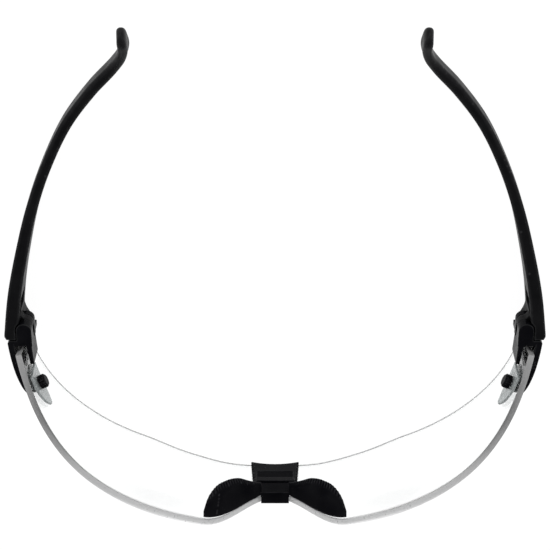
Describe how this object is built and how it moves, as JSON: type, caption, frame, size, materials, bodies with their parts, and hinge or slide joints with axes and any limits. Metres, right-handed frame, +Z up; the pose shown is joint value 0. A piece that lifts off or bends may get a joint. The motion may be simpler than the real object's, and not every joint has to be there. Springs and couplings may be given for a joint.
{
  "type": "magnifying spectacles",
  "caption": "Rimless wraparound magnifying spectacles with a clear one-piece lens, folding black temples and a soft winged nosepiece, lying upside down.",
  "frame": {"origin": "middle of the footprint, on the table that the temples' top edges and the lens's brow edge lie on", "axes": "+X to the wearer's right, +Y back from the lens to the ear tips, +Z up from the table, which is the wearer's down"},
  "size_m": [0.1496, 0.1398, 0.0448],
  "materials": {
    "clear_plastic": "clear, polished",
    "smoky_plastic": "smoky, translucent",
    "temple_black": "satin",
    "gloss_black": "glossy",
    "soft_black": "matte, soft",
    "steel": "turned",
    "brass": "turned"
  },
  "bodies": {
    "front": {"lens": "clear_plastic", "nose_bracket": "gloss_black", "nose_block": "soft_black", "right_end_piece": "gloss_black", "right_hinge_screw": "steel", "right_hinge_insert": "brass", "right_lens_screw": "steel", "right_lens_bush": "soft_black", "right_backing_plate": "smoky_plastic", "right_lens_nut": "gloss_black", "right_nose_wing": "soft_black", "left_end_piece": "gloss_black", "left_hinge_screw": "steel", "left_hinge_insert": "brass", "left_lens_screw": "steel", "left_lens_bush": "soft_black", "left_backing_plate": "smoky_plastic", "left_lens_nut": "gloss_black", "left_nose_wing": "soft_black"},
    "right_temple": {"right_temple": "temple_black"},
    "left_temple": {"left_temple": "temple_black"}
  },
  "joints": [
    {"name": "left_hinge", "type": "hinge", "parent": "front", "child": "left_temple", "pos_m": [-0.0692, -0.01937, 0.0096], "axis": [0, 0, -1], "range_deg": [0, 95]},
    {"name": "right_hinge", "type": "hinge", "parent": "front", "child": "right_temple", "pos_m": [0.0692, -0.01937, 0.0096], "axis": [0, 0, 1], "range_deg": [0, 75]}
  ]
}
